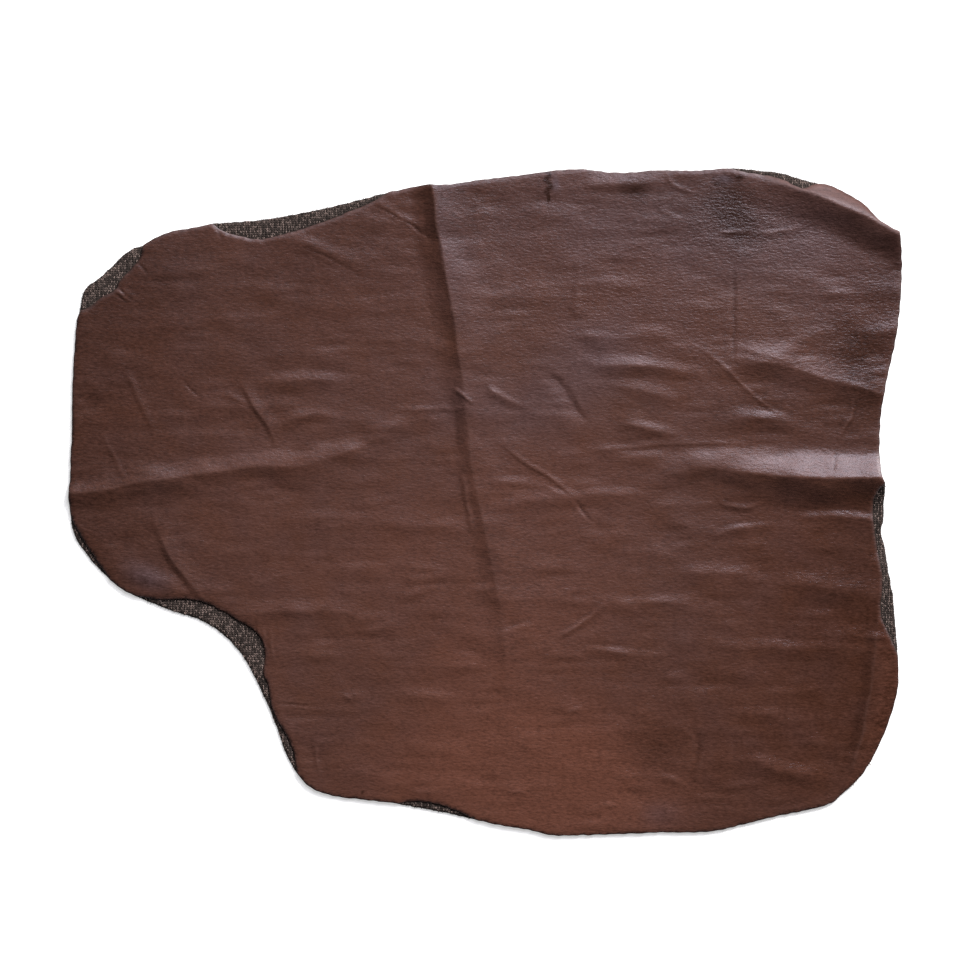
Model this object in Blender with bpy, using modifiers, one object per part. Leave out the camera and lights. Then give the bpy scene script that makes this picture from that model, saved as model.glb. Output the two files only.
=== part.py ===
"""A cut leather hide bonded to a knitted backing cloth, lying on a table.

Metres, +Z up. The origin is under the middle of the hide, on the table. +X runs along the hide's length.
Two sheets follow one surface of folds: the backing cloth, and above it the leather, whose edge stops short
of the cloth's edge in seven places.
"""

from collections import namedtuple

import bmesh
import bpy
from mathutils import Vector

MM = 0.001

# Driving dimensions, in metres.
HIDE_LENGTH = 0.690
HIDE_WIDTH = 0.554
CLOTH_THICKNESS = 0.0010
LEATHER_THICKNESS = 0.0012
LAYER_GAP = 0.0003

# The sheet starts as a grid of squares, and a square is halved where the folds bend it.
GRID_PITCH = 0.020
GRID_MARGIN = 0.012
BEND_TOLERANCE = 0.00025
HALVINGS = 3

# The cutters that trim both sheets to their outlines.
CUTTER_BOTTOM = -0.010
CUTTER_TOP = 0.050
CURVE_STEPS = 4
WELD_DISTANCE = 0.00001

# The edge, clockwise from the left end of the hide, in millimetres. Each row is one stretch of it. Where the
# leather runs back and bares the cloth, the row also gives the leather's own edge. A sharp stretch begins at
# a corner, and any other joins the one before it smoothly.
Stretch = namedtuple("Stretch", "name sharp cloth_edge leather_edge")
EDGE = (
    Stretch(
        "left end",
        False,
        ((-344, -9), (-344, 26), (-343, 51), (-342, 101), (-340, 134), (-338, 152)),
        None,
    ),
    Stretch(
        "scallop at the upper left corner",
        True,
        ((-336, 159), (-334, 169), (-330, 178), (-324, 182), (-311, 193), (-296, 207)),
        ((-336, 158), (-330, 160), (-318, 169), (-306, 176), (-304, 181), (-294, 192), (-286, 203)),
    ),
    Stretch("upper left edge", True, ((-284, 212), (-270, 220), (-258, 224), (-245, 226)), None),
    Stretch(
        "scallop in the upper edge",
        True,
        ((-227, 230), (-187, 233), (-156, 238), (-111, 248)),
        (
            (-227, 230), (-218, 224), (-205, 220), (-187, 217), (-172, 220), (-130, 233), (-113, 240),
            (-96, 247),
        ),
    ),
    Stretch(
        "upper edge",
        True,
        (
            (-81, 256), (-48, 262), (-34, 262), (-5, 266), (28, 270), (74, 275), (111, 272),
            (140, 274), (177, 274),
        ),
        None,
    ),
    Stretch(
        "scallop near the upper right corner",
        True,
        ((200, 276), (224, 274), (246, 271), (262, 266)),
        ((200, 276), (212, 273), (235, 269), (246, 266), (261, 259)),
    ),
    Stretch(
        "upper right corner",
        False,
        ((275, 263), (285, 261), (298, 255), (312, 246), (327, 231)),
        None,
    ),
    Stretch(
        "right end, upper half",
        True,
        ((342, 223), (344, 200), (343, 167), (339, 134), (330, 92)),
        None,
    ),
    Stretch("right end, waist", False, ((326, 60), (326, 34), (327, 22)), None),
    Stretch(
        "scallop in the right end",
        True,
        ((330, 15), (329, -5), (329, -16), (327, -23), (330, -38), (333, -57), (337, -82), (339, -106)),
        ((330, 15), (322, 5), (320, -7), (321, -21), (325, -45), (328, -64), (327, -95), (333, -109)),
    ),
    Stretch(
        "right end, lower half",
        True,
        ((341, -127), (341, -152), (335, -177), (325, -202), (311, -226)),
        None,
    ),
    Stretch(
        "lower right corner",
        True,
        ((286, -250), (272, -254), (243, -260), (210, -268), (187, -273)),
        None,
    ),
    Stretch(
        "lower edge",
        False,
        ((144, -274), (119, -275), (86, -276), (53, -276), (36, -272), (12, -268)),
        None,
    ),
    Stretch(
        "scallop in the lower edge",
        True,
        ((-7, -264), (-27, -259), (-48, -255)),
        ((-7, -264), (-27, -255), (-42, -250), (-60, -248)),
    ),
    Stretch("lower left edge", True, ((-74, -250), (-100, -247), (-129, -243), (-146, -236)), None),
    Stretch(
        "scallop along the bay",
        True,
        (
            (-156, -226), (-165, -210), (-172, -190), (-184, -161), (-206, -122), (-229, -102),
            (-264, -89),
        ),
        (
            (-156, -226), (-160, -205), (-177, -171), (-181, -150), (-184, -144), (-183, -125),
            (-187, -112), (-201, -101), (-224, -88), (-239, -82), (-272, -81),
        ),
    ),
    Stretch("lower left corner", True, ((-291, -78), (-301, -73)), None),
    Stretch(
        "strip at the lower left corner",
        True,
        ((-311, -65), (-322, -54), (-334, -39), (-340, -29)),
        ((-311, -65), (-324, -46), (-335, -29)),
    ),
)

# The folds that it keeps from having been folded in four, and the softer waves between them. A crest is a row
# of points x, y and height. The sheet falls away from it within two reaches, to the left and to the right of
# the way in which the points run. Crispness goes from 0, a round wave, to 1, a sharp crease.
Fold = namedtuple("Fold", "name left_reach right_reach crispness crest")
FOLDS = (
    Fold("spine, upper half", 62, 20, 0.9, (
        (-46, 275, 4.6), (-41, 227, 4.4), (-34, 192, 4.0), (-25, 142, 3.2), (-21, 109, 2.6),
        (-17, 90, 1.6), (-12, 62, 0),
    )),
    Fold("spine, lower half", 50, 14, 0.7, (
        (-22, 100, 0), (-19, 86, 1.0), (-16, 66, 1.5), (-11, 26, 1.7), (1, -32, 1.5), (11, -82, 1.2),
        (15, -115, 0.9), (22, -214, 0),
    )),
    Fold("fold of the left end", 15, 20, 0.5, (
        (-352, 6, 2.4), (-302, 13, 2.3), (-254, 20, 2.2), (-232, 24, 2.2), (-206, 27, 2.2),
        (-178, 31, 2.2), (-156, 29, 2.2), (-139, 33, 1.9), (-113, 42, 1.4), (-99, 49, 1.1),
        (-71, 68, 0.7), (-54, 76, 0.5), (-29, 77, 0),
    )),
    Fold("ridge of the right end", 26, 28, 0.4, (
        (160, 31, 0), (190, 27, 2), (218, 24, 4.6), (245, 21, 6.4), (272, 20, 7.2), (301, 19.5, 7.6),
        (345, 18, 7.6),
    )),
    Fold("low ridge below it", 7, 14, 0.4, ((240, -11, 0), (285, -12, 0.7), (322, -15, 0.9), (345, -16, 0.9))),
    Fold("roll of the upper right corner", 20, 28, 0.4, (
        (195, 273, 0), (231, 265, 2.4), (260, 257.5, 5), (285, 248.5, 6.3), (310, 238, 6.8),
        (352, 216, 6.8),
    )),
    Fold("curl of the lower right edge", 26, 10, 0.5, (
        (325, -92, 0.4), (320, -140, 1.8), (311, -195, 1.8), (298, -232, 0.3),
    )),
    Fold("lip of the upper edge", 9, 9, 0.2, ((80, 262, 0), (100, 264, 0.8), (132, 264, 0.8), (160, 266, 0))),
    Fold("first wave right of the spine", 10, 11, 0.4, (
        (84, 111, 0), (108, 113, 1.4), (140, 112, 1.5), (165, 108, 0.8), (182, 104, 0),
    )),
    Fold("second wave right of the spine", 9, 10, 0.3, ((100, 98, 0), (136, 90, 1.0), (168, 81, 0))),
    Fold("third wave right of the spine", 8, 9, 0.3, ((102, 67, 0), (136, 60, 0.8), (168, 52, 0))),
    Fold("wave to the right end", 22, 18, 0.5, (
        (185, 106, 0), (210, 113, 1.6), (232, 115, 2.5), (254, 111, 2.4), (278, 103, 1.9),
        (303, 95, 1.7), (324, 90, 1.7), (348, 86, 1.7),
    )),
    Fold("branch of that wave", 10, 12, 0.2, ((236, 117, 0), (262, 133, 0.8), (290, 143, 0))),
    Fold("wave at the right end", 10, 12, 0.2, ((305, 137, 0), (326, 140, 1.1), (352, 145, 1.2))),
    Fold("wave above the ridge", 10, 12, 0.3, ((186, 65, 0), (214, 69, 1.0), (243, 67, 0.8), (265, 60, 0))),
    Fold("crease above the ridge", 7, 3, 0.6, (
        (74, 42, 0), (102, 44, 0.4), (149, 47, 0.35), (198, 49, 0.3), (230, 49, 0),
    )),
    Fold("rise to the ridge", 16, 14, 0.1, ((122, 7, 0), (150, 21, 1), (172, 29, 1.2), (204, 38, 0))),
    Fold("pinch beside the spine", 5, 8, 0.7, (
        (0, 96, 0), (6, 91, 0.8), (18, 85, 0.7), (30, 80, 0.3), (42, 77, 0),
    )),
    Fold("first slant below the pinch", 5, 3.5, 0.7, ((8, 50, 0), (32, 33, 0.4), (61, 14, 0.4), (76, 3, 0))),
    Fold("second slant below the pinch", 5, 5, 0.4, ((20, 15, 0), (49, 10, 0.3), (78, 2, 0))),
    Fold("slant down the right half", 3, 4, 0.8, (
        (160, 138, 0), (199, 111, 0.4), (222, 87, 0.35), (252, 66, 0),
    )),
    Fold("wave left of the spine", 10, 12, 0.2, (
        (-185, 218, 0), (-154, 215, 0.6), (-121, 203, 0.7), (-95, 189, 0),
    )),
    Fold("slant into the spine", 6, 6, 0.5, (
        (-100, 254, 0), (-84, 243, 0.4), (-66, 233, 0.4), (-40, 221, 0),
    )),
    Fold("wave of the left half", 10, 12, 0.3, (
        (-190, 98, 0), (-165, 100, 0.9), (-140, 101, 0.9), (-108, 96, 0),
    )),
    Fold("arch of the left half", 9, 10, 0.3, (
        (-178, 58, 0), (-158, 70, 0.9), (-140, 74, 0.9), (-118, 68, 0),
    )),
    Fold("bent crease of the left half", 12, 4, 0.5, (
        (-203, 98, 0), (-192, 80, 0.8), (-181, 62, 0.8), (-172, 44, 0),
    )),
    Fold("crease of the upper left corner", 6, 8, 0.3, (
        (-322, 177, 0.2), (-299, 172, 0.6), (-284, 163, 0),
    )),
    Fold("wave of the upper left corner", 10, 10, 0.2, ((-295, 193, 0), (-258, 191, 0.7), (-220, 190, 0))),
    Fold("wave above the bay", 13, 12, 0.3, (
        (-210, -97, 0), (-180, -92, 1.0), (-140, -90, 1.2), (-95, -92, 0),
    )),
    Fold("slant of the left end", 16, 6, 0.4, (
        (-278, -10, 0), (-262, -42, 1.0), (-245, -67, 1.0), (-230, -84, 0),
    )),
    Fold("wave of the lower left corner", 12, 12, 0.1, (
        (-318, -50, 0), (-290, -59, 0.9), (-265, -69, 0.9), (-240, -80, 0),
    )),
    Fold("wave below the left fold", 10, 14, 0.2, ((-172, -13, 0), (-113, -14, 0.9), (-58, -16, 0))),
    Fold("slant of the lower middle", 4, 5, 0.5, ((48, -121, 0), (78, -101, 0.4), (106, -80, 0))),
    Fold("crease of the lower middle", 6, 8, 0.3, ((65, -119, 0), (103, -124, 0.7), (150, -129, 0))),
    Fold("wave of the middle", 9, 12, 0.1, ((-5, -2, 0), (36, 1, 0.8), (103, 5, 0.8), (145, 3, 0))),
    Fold("crease below the ridge", 5, 8, 0.5, ((185, -30, 0), (205, -23, 0.8), (240, -18, 0))),
    Fold("first wave of the lower right", 11, 13, 0.2, ((160, -61, 0), (194, -58, 0.9), (228, -61, 0))),
    Fold("second wave of the lower right", 9, 11, 0.2, ((105, -86, 0), (145, -83, 0.8), (190, -86, 0))),
    Fold("third wave of the lower right", 16, 18, 0.2, (
        (228, -71, 0), (270, -70, 1.3), (305, -75, 1.2), (345, -81, 0.8),
    )),
    Fold("fourth wave of the lower right", 10, 14, 0.2, (
        (190, -122, 0), (240, -121, 0.9), (290, -122, 0.9), (320, -124, 0),
    )),
    Fold("first wave of the lower edge", 7, 9, 0.2, ((196, -176, 0), (220, -174, 0.6), (252, -175, 0))),
    Fold("second wave of the lower edge", 7, 9, 0.2, ((112, -177, 0), (140, -176, 0.6), (168, -177, 0))),
    Fold("rise of the lower edge", 12, 12, 0.1, (
        (190, -207, 0), (238, -222, 0.8), (270, -227, 0.7), (305, -230, 0),
    )),
)

# Material colours are linear, as the Principled BSDF takes them.
Finish = namedtuple("Finish", "name colour roughness")
LEATHER_FINISH = Finish("brown_leather", (0.075, 0.030, 0.022), 0.45)
CLOTH_FINISH = Finish("charcoal_knit", (0.020, 0.018, 0.016), 0.90)


def clear_scene():
    for obj in list(bpy.data.objects):
        bpy.data.objects.remove(obj, do_unlink=True)


def new_collection(name, hidden=False):
    collection = bpy.data.collections.new(name)
    collection.hide_render = hidden
    bpy.context.scene.collection.children.link(collection)
    return collection


def new_material(finish):
    material = bpy.data.materials.new(finish.name)
    material.use_nodes = True
    shader = material.node_tree.nodes["Principled BSDF"]
    shader.inputs["Base Color"].default_value = (*finish.colour, 1.0)
    shader.inputs["Roughness"].default_value = finish.roughness
    shader.inputs["Metallic"].default_value = 0.0
    return material


def flank(share, crispness):
    """Height left of a crest at a share of its reach: 1 on the crest and 0 at the foot."""
    if share >= 1.0:
        return 0.0
    wave = 1.0 - share * share * (3.0 - 2.0 * share)
    crease = (1.0 - share) ** 2
    return wave + (crease - wave) * crispness


def fold_height(fold, x, y):
    """Height in millimetres that one fold adds at a point, taken from the nearest place on its crest."""
    best = None
    for start, end in zip(fold.crest, fold.crest[1:]):
        along = Vector((end[0] - start[0], end[1] - start[1]))
        to_point = Vector((x - start[0], y - start[1]))
        share = min(max(to_point.dot(along) / along.length_squared, 0.0), 1.0)
        distance = (to_point - along * share).length
        if best is None or distance < best[0]:
            on_left = along.cross(to_point) > 0.0
            best = (distance, on_left, start[2] + (end[2] - start[2]) * share)
    distance, on_left, height = best
    reach = fold.left_reach if on_left else fold.right_reach
    return height * flank(distance / reach, fold.crispness)


def lift(x, y):
    """Height in metres of the cloth's underside above the table, at a point in metres."""
    return MM * sum(fold_height(fold, x / MM, y / MM) for fold in FOLDS)


def sag(edge):
    """How far the folded surface stands from the middle of a straight edge of the grid."""
    start, end = (vertex.co for vertex in edge.verts)
    middle = (start + end) / 2.0
    return abs(lift(middle.x, middle.y) - (lift(start.x, start.y) + lift(end.x, end.y)) / 2.0)


def folded_sheet():
    """The surface of the folds, of one layer and still with a rectangular edge."""
    columns = round((HIDE_LENGTH + 2.0 * GRID_MARGIN) / GRID_PITCH)
    rows = round((HIDE_WIDTH + 2.0 * GRID_MARGIN) / GRID_PITCH)
    grid = bmesh.new()
    bmesh.ops.create_grid(grid, x_segments=columns, y_segments=rows, size=0.5)
    bmesh.ops.scale(grid, vec=(columns * GRID_PITCH, rows * GRID_PITCH, 1.0), verts=grid.verts)
    for _ in range(HALVINGS):
        bent = [edge for edge in grid.edges if sag(edge) > BEND_TOLERANCE]
        bmesh.ops.subdivide_edges(grid, edges=bent, cuts=1, use_grid_fill=True)
    bmesh.ops.triangulate(grid, faces=grid.faces)
    for vertex in grid.verts:
        vertex.co.z = lift(vertex.co.x, vertex.co.y)
    mesh = bpy.data.meshes.new("folded_sheet")
    grid.to_mesh(mesh)
    grid.free()
    return mesh


def edge_points(layer):
    """The points of one layer's outline in millimetres, each with the kind of its curve handles."""
    points = []
    for stretch in EDGE:
        own = stretch.leather_edge if layer == "leather" else None
        for number, (x, y) in enumerate(own or stretch.cloth_edge):
            corner = stretch.sharp and number == 0
            points.append((x, y, "VECTOR" if corner else "AUTO"))
    return points


def outline_cutter(name, layer, cutters):
    """An upright prism with one layer's outline, from below the table to above the highest fold."""
    curve = bpy.data.curves.new(name, "CURVE")
    curve.dimensions = "2D"
    curve.fill_mode = "BOTH"
    curve.resolution_u = CURVE_STEPS
    curve.extrude = (CUTTER_TOP - CUTTER_BOTTOM) / 2.0
    points = edge_points(layer)
    spline = curve.splines.new("BEZIER")
    spline.bezier_points.add(len(points) - 1)
    spline.use_cyclic_u = True
    for bezier_point, (x, y, handle) in zip(spline.bezier_points, points):
        bezier_point.co = (x * MM, y * MM, 0.0)
        bezier_point.handle_left_type = handle
        bezier_point.handle_right_type = handle
    flat = bpy.data.objects.new(name + "_curve", curve)
    flat.location.z = (CUTTER_TOP + CUTTER_BOTTOM) / 2.0
    cutters.objects.link(flat)
    graph = bpy.context.evaluated_depsgraph_get()
    mesh = bpy.data.meshes.new_from_object(flat.evaluated_get(graph))
    welded = bmesh.new()
    welded.from_mesh(mesh)
    bmesh.ops.remove_doubles(welded, verts=welded.verts, dist=WELD_DISTANCE)
    welded.to_mesh(mesh)
    welded.free()
    mesh.shade_flat()
    cutter = bpy.data.objects.new(name, mesh)
    cutter.matrix_world = flat.matrix_world.copy()
    cutter.hide_render = True
    cutter.display_type = "WIRE"
    cutters.objects.link(cutter)
    bpy.data.objects.remove(flat, do_unlink=True)
    return cutter


def layer_sheet(name, surface, above, thickness, cutter, finish, collection):
    """One layer: the folded surface, raised by what lies below it, made thick and cut to its outline."""
    sheet = bpy.data.objects.new(name, surface.copy())
    collection.objects.link(sheet)
    sheet.data.materials.append(new_material(finish))
    if above > 0.0:
        raised = sheet.modifiers.new("Raise", "DISPLACE")
        raised.direction = "NORMAL"
        raised.mid_level = 0.0
        raised.strength = above
    thick = sheet.modifiers.new("Thickness", "SOLIDIFY")
    thick.thickness = thickness
    thick.offset = 1.0
    trimmed = sheet.modifiers.new("Outline", "BOOLEAN")
    trimmed.operation = "INTERSECT"
    trimmed.solver = "EXACT"
    trimmed.object = cutter
    return sheet


def build_hide():
    clear_scene()
    hide = new_collection("leather_hide")
    cutters = new_collection("cutters", hidden=True)
    surface = folded_sheet()
    surface.shade_smooth()
    cloth_cutter = outline_cutter("cloth_outline", "cloth", cutters)
    leather_cutter = outline_cutter("leather_outline", "leather", cutters)
    layer_sheet("backing_cloth", surface, 0.0, CLOTH_THICKNESS, cloth_cutter, CLOTH_FINISH, hide)
    layer_sheet(
        "leather_skin",
        surface,
        CLOTH_THICKNESS + LAYER_GAP,
        LEATHER_THICKNESS,
        leather_cutter,
        LEATHER_FINISH,
        hide,
    )
    bpy.data.meshes.remove(surface)


build_hide()
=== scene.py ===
# %% [markdown]
# A cut leather hide lies on a table. The leather is bonded to a thin knitted cloth, which shows wherever
# the leather's edge runs back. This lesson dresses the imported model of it: both sheets are made again as
# fine meshes on the model's own folds, and the bare cloth gets its stitches and cut yarn ends. The
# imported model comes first, because every piece takes its place from it.

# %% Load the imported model
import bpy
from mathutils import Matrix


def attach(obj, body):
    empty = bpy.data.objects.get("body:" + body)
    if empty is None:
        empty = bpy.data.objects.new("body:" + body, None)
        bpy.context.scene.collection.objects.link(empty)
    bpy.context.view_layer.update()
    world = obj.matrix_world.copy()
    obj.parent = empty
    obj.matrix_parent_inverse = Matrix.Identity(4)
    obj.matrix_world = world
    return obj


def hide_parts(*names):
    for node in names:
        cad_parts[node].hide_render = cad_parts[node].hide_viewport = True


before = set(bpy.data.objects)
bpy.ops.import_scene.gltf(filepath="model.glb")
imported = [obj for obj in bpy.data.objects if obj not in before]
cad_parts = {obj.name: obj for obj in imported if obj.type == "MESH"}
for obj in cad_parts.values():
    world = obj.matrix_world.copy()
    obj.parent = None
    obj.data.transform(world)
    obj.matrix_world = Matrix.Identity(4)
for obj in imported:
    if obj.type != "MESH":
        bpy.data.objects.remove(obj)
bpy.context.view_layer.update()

# %% [markdown]
# The sheets are soft, so no edge of them is straight and no fold is even. numpy works the heights out
# for many points at once, and Blender joins the points to a mesh. Lengths in the tables below are
# millimetres, as a leather worker gives them, and a mesh takes them in metres.

# %% Bring in what the lesson needs
import math
import random
from collections import namedtuple

import bpy
import numpy as np
from mathutils import Vector
from mathutils.geometry import delaunay_2d_cdt

MM = 0.001
CLOTH = 1.0
GLUE_GAP = 0.3
LEATHER = 1.2
print("cloth", CLOTH, "mm, leather", LEATHER, "mm, and", GLUE_GAP, "mm between them")

# %% [markdown]
# The hide is seen from straight above. A long lens keeps the raised edges from spreading outwards, as a
# close wide lens would make them. The picture spans a known width of the table, which sets the camera's
# height.

# %% Place the camera
PICTURE_WIDTH = 0.8114
PICTURE_MIDDLE = (0.0033, 0.0095)
LENS = 135.0
SENSOR = 36.0
camera_data = bpy.data.cameras.new("camera")
camera_data.lens = LENS
camera_data.sensor_width = SENSOR
camera = bpy.data.objects.new("camera", camera_data)
camera.location = (*PICTURE_MIDDLE, PICTURE_WIDTH * LENS / SENSOR)
bpy.context.scene.collection.objects.link(camera)
bpy.context.scene.camera = camera
print("camera height, in metres:", round(camera.location.z, 3))

# %% [markdown]
# A hide is cut round by hand. Its edge is one closed row of points, clockwise from the left end, which
# smooth curves join, with corners only where the knife turned. A stretch with a second row is a place
# where the leather was cut back, or had run out, and bares the cloth below. The rows are those of the
# model.

# %% List the edge, stretch by stretch
Stretch = namedtuple("Stretch", "name sharp cloth_edge leather_edge")
EDGE = (
    Stretch(
        "left end",
        False,
        ((-344, -9), (-344, 26), (-343, 51), (-342, 101), (-340, 134), (-338, 152)),
        None,
    ),
    Stretch(
        "scallop at the upper left corner",
        True,
        ((-336, 159), (-334, 169), (-330, 178), (-324, 182), (-311, 193), (-296, 207)),
        ((-336, 158), (-330, 160), (-318, 169), (-306, 176), (-304, 181), (-294, 192), (-286, 203)),
    ),
    Stretch("upper left edge", True, ((-284, 212), (-270, 220), (-258, 224), (-245, 226)), None),
    Stretch(
        "scallop in the upper edge",
        True,
        ((-227, 230), (-187, 233), (-156, 238), (-111, 248)),
        (
            (-227, 230), (-218, 224), (-205, 220), (-187, 217), (-172, 220), (-130, 233), (-113, 240),
            (-96, 247),
        ),
    ),
    Stretch(
        "upper edge",
        True,
        (
            (-81, 256), (-48, 262), (-34, 262), (-5, 266), (28, 270), (74, 275), (111, 272),
            (140, 274), (177, 274),
        ),
        None,
    ),
    Stretch(
        "scallop near the upper right corner",
        True,
        ((200, 276), (224, 274), (246, 271), (262, 266)),
        ((200, 276), (212, 273), (235, 269), (246, 266), (261, 259)),
    ),
    Stretch(
        "upper right corner",
        False,
        ((275, 263), (285, 261), (298, 255), (312, 246), (327, 231)),
        None,
    ),
    Stretch(
        "right end, upper half",
        True,
        ((342, 223), (344, 200), (343, 167), (339, 134), (330, 92)),
        None,
    ),
    Stretch("right end, waist", False, ((326, 60), (326, 34), (327, 22)), None),
    Stretch(
        "scallop in the right end",
        True,
        ((330, 15), (329, -5), (329, -16), (327, -23), (330, -38), (333, -57), (337, -82), (339, -106)),
        ((330, 15), (322, 5), (320, -7), (321, -21), (325, -45), (328, -64), (327, -95), (333, -109)),
    ),
    Stretch(
        "right end, lower half",
        True,
        ((341, -127), (341, -152), (335, -177), (325, -202), (311, -226)),
        None,
    ),
    Stretch(
        "lower right corner",
        True,
        ((286, -250), (272, -254), (243, -260), (210, -268), (187, -273)),
        None,
    ),
    Stretch(
        "lower edge",
        False,
        ((144, -274), (119, -275), (86, -276), (53, -276), (36, -272), (12, -268)),
        None,
    ),
    Stretch(
        "scallop in the lower edge",
        True,
        ((-7, -264), (-27, -259), (-48, -255)),
        ((-7, -264), (-27, -255), (-42, -250), (-60, -248)),
    ),
    Stretch("lower left edge", True, ((-74, -250), (-100, -247), (-129, -243), (-146, -236)), None),
    Stretch(
        "scallop along the bay",
        True,
        (
            (-156, -226), (-165, -210), (-172, -190), (-184, -161), (-206, -122), (-229, -102),
            (-264, -89),
        ),
        (
            (-156, -226), (-160, -205), (-177, -171), (-181, -150), (-184, -144), (-183, -125),
            (-187, -112), (-201, -101), (-224, -88), (-239, -82), (-272, -81),
        ),
    ),
    Stretch("lower left corner", True, ((-291, -78), (-301, -73)), None),
    Stretch(
        "strip at the lower left corner",
        True,
        ((-311, -65), (-322, -54), (-334, -39), (-340, -29)),
        ((-311, -65), (-324, -46), (-335, -29)),
    ),
)
cut_back = [row.name for row in EDGE if row.leather_edge]
print(len(EDGE), "stretches of edge,", len(cut_back), "of them bare the cloth")

# %% [markdown]
# Nothing on a hide is even. A sum of sine waves, each with its own way, length and start, makes a smooth
# uneven field over the table. Its random numbers are seeded, so it is the same on every run. The knife's
# waver, the ripples of the leather and the unevenness of its folds all come from such fields.

# %% Make a smooth uneven field
def swells(x, y, length, width, seed, waves=12):
    """A smooth uneven field of about -1 to 1. Its swells are that long along X and that wide along Y."""
    dice = random.Random(seed)
    total = np.zeros(np.shape(x))
    for _ in range(waves):
        turn = dice.uniform(0.0, math.tau)
        pace = dice.uniform(0.6, 1.5)
        start = dice.uniform(0.0, math.tau)
        along = pace * math.cos(turn) * math.tau / length
        across = pace * math.sin(turn) * math.tau / width
        total += np.sin(along * x + across * y + start)
    return total / math.sqrt(waves)


print("a field of swells at the middle:", round(float(swells(0.0, 0.0, 11.0, 11.0, 1)), 3))

# %% [markdown]
# Blender's Bezier curve gives the smooth edge: automatic handles round a stretch, and a straight handle
# keeps a corner. The curve is read as a fine polygon and spaced evenly, for the mesh needs even steps.
# The knife wavered, so each point also moves a fraction of a millimetre. The same waver serves both
# layers, so their edges stay in line where they were cut together.

# %% Draw the outline of each layer
EDGE_STEP = 2.0
KNIFE_WAVER = 0.22


def edge_curve(layer):
    """One layer's edge as Blender's Bezier curve draws it, in millimetres."""
    rows = []
    for stretch in EDGE:
        own = stretch.leather_edge if layer == "leather" else None
        for number, place in enumerate(own or stretch.cloth_edge):
            rows.append((place, "VECTOR" if stretch.sharp and number == 0 else "AUTO"))
    curve = bpy.data.curves.new("edge", "CURVE")
    curve.resolution_u = 12
    spline = curve.splines.new("BEZIER")
    spline.bezier_points.add(len(rows) - 1)
    spline.use_cyclic_u = True
    for point, (place, handle) in zip(spline.bezier_points, rows):
        point.co = (*place, 0.0)
        point.handle_left_type = handle
        point.handle_right_type = handle
    drawn = bpy.data.objects.new("edge", curve)
    polygon = drawn.to_mesh()
    places = np.empty(len(polygon.vertices) * 3)
    polygon.vertices.foreach_get("co", places)
    bpy.data.objects.remove(drawn)
    bpy.data.curves.remove(curve)
    return places.reshape(-1, 3)[:, :2]


def outline(layer):
    """The layer's cut edge, in even steps and as uneven as the knife left it."""
    places = edge_curve(layer)
    closed = np.vstack((places, places[:1]))
    along = np.concatenate(([0.0], np.cumsum(np.hypot(*np.diff(closed, axis=0).T))))
    marks = np.linspace(0.0, along[-1], round(along[-1] / EDGE_STEP), endpoint=False)
    x = np.interp(marks, along, closed[:, 0])
    y = np.interp(marks, along, closed[:, 1])
    return np.column_stack((
        x + KNIFE_WAVER * swells(x, y, 11.0, 11.0, 1),
        y + KNIFE_WAVER * swells(x, y, 11.0, 11.0, 2),
    ))


LEATHER_OUTLINE = outline("leather")
CLOTH_OUTLINE = outline("cloth")
print("points round the leather and the cloth:", len(LEATHER_OUTLINE), len(CLOTH_OUTLINE))

# %% [markdown]
# Several steps ask how far a point lies inside an edge. The distance is that to the nearest side of the
# polygon, and the point is inside if a line from it to the right crosses an odd number of sides.

# %% Measure how far inside an edge a point lies
def edge_distance(points, edge):
    """How far inside a closed edge each point lies, and less than 0 outside it."""
    x = points[:, 0]
    y = points[:, 1]
    square = np.full(len(points), np.inf)
    inside = np.zeros(len(points), bool)
    for start, end in zip(edge, np.roll(edge, -1, axis=0)):
        along = end - start
        dx = x - start[0]
        dy = y - start[1]
        share = np.clip((dx * along[0] + dy * along[1]) / (along @ along), 0.0, 1.0)
        square = np.minimum(square, (dx - share * along[0]) ** 2 + (dy - share * along[1]) ** 2)
        if start[1] != end[1]:
            spans = (start[1] > y) != (end[1] > y)
            inside ^= spans & (dx < along[0] * dy / along[1])
    return np.where(inside, 1.0, -1.0) * np.sqrt(square)


depth = edge_distance(np.array([[0.0, 0.0]]), LEATHER_OUTLINE)[0]
print("the middle lies", round(float(depth)), "mm inside the leather's edge")

# %% [markdown]
# The hide was folded in four before it was laid out, and it keeps a spine across it, a fold at each end
# and many softer waves. A fold is a crest, a row of points x, y and height, from which the sheet falls
# away within a reach on each side. Crispness goes from 0, a round wave, to 1, a sharp crease. These are
# the model's folds.

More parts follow.
